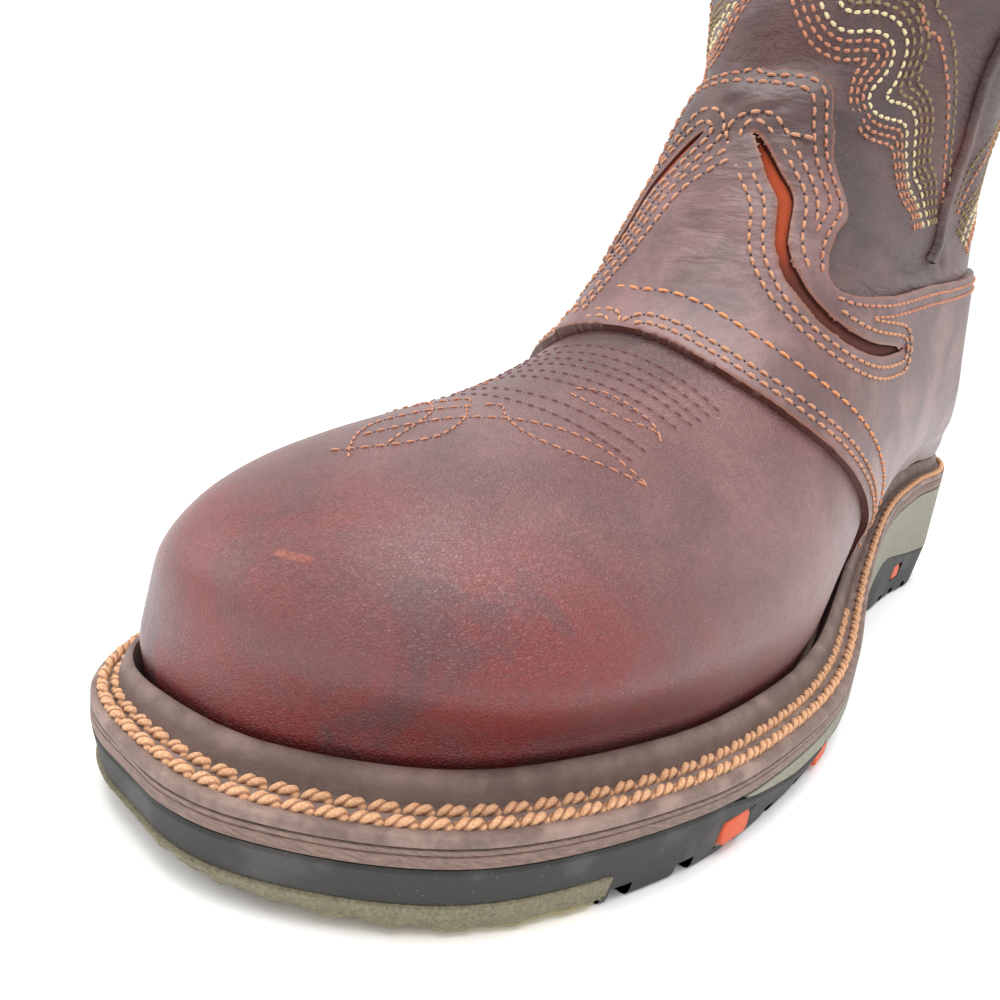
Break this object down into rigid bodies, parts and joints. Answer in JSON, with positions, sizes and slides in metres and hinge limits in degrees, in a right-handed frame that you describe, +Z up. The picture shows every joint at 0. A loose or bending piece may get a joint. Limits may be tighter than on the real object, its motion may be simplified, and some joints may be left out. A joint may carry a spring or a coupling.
{
  "type": "western work boot",
  "caption": "Pull-on western work boot for the left foot: round safety toe, stitched saddle over the instep, storm welt, layered rubber sole with a low heel, tall open shaft.",
  "frame": {"origin": "centre of the boot's box in plan, on the floor it stands on", "axes": "+Z up, -Y towards the toe, +X towards the outer side of the left foot"},
  "size_m": [0.1146, 0.318, 0.3529],
  "materials": {
    "outsole": "matt speckled black rubber",
    "toe_bumper": "grainy olive gum rubber",
    "foam_wedge": "olive grey moulded foam",
    "accent_plug": "orange moulded rubber",
    "midsole": "buffed brown rubber with fine slanted scratches",
    "welt": "brown storm welt with two rows of thread",
    "insole": "dark lining cloth",
    "upper": "oiled oxblood full grain leather",
    "quarter": "oiled brown leather with stitched raw edges",
    "flex_panel": "orange felt",
    "heel_strip": "oiled brown leather",
    "side_piping": "dark leather piping",
    "top_binding": "dark leather binding",
    "pull_strap": "dark woven strap"
  },
  "bodies": {
    "root": {"outsole": "outsole", "toe_bumper": "toe_bumper", "foam_wedge": "foam_wedge", "midsole": "midsole", "welt": "welt", "insole": "insole", "upper": "upper", "quarter": "quarter", "flex_panel_outer": "flex_panel", "flex_panel_inner": "flex_panel", "heel_strip": "heel_strip", "side_piping_outer": "side_piping", "side_piping_inner": "side_piping", "top_binding": "top_binding", "pull_strap_outer": "pull_strap", "pull_strap_inner": "pull_strap", "accent_plug_1": "accent_plug", "accent_plug_2": "accent_plug", "accent_plug_3": "accent_plug", "accent_plug_4": "accent_plug", "accent_plug_5": "accent_plug", "accent_plug_6": "accent_plug"}
  },
  "joints": []
}
